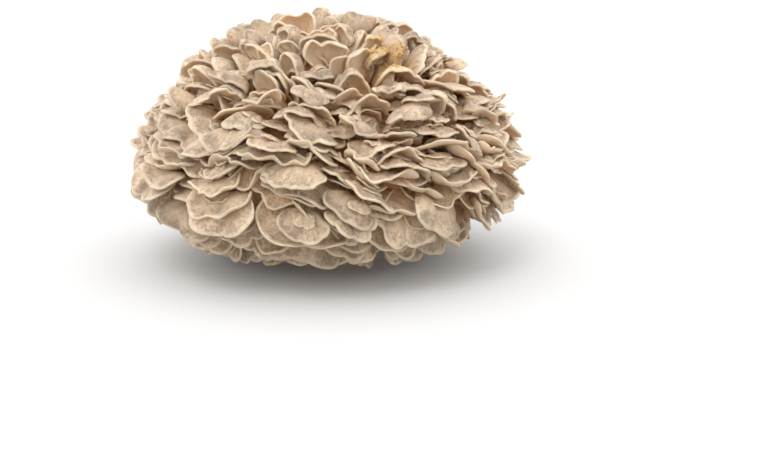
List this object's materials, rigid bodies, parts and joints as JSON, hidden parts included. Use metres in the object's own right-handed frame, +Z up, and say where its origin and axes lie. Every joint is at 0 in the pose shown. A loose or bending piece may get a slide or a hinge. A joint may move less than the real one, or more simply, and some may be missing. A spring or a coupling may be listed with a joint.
{
  "type": "maitake mushroom",
  "caption": "Dome-shaped head of overlapping fan-shaped fronds with pale wavy rims, grown as one body and standing on its flat cut stem.",
  "frame": {"origin": "middle of the flat cut across the stem", "axes": "+Z up through the crown, square to the cut; -Y towards the side seen in front, +X to its right"},
  "size_m": [0.3879, 0.3941, 0.2405],
  "materials": {
    "flesh": null
  },
  "bodies": {
    "root": {"maitake": "flesh"}
  },
  "joints": []
}
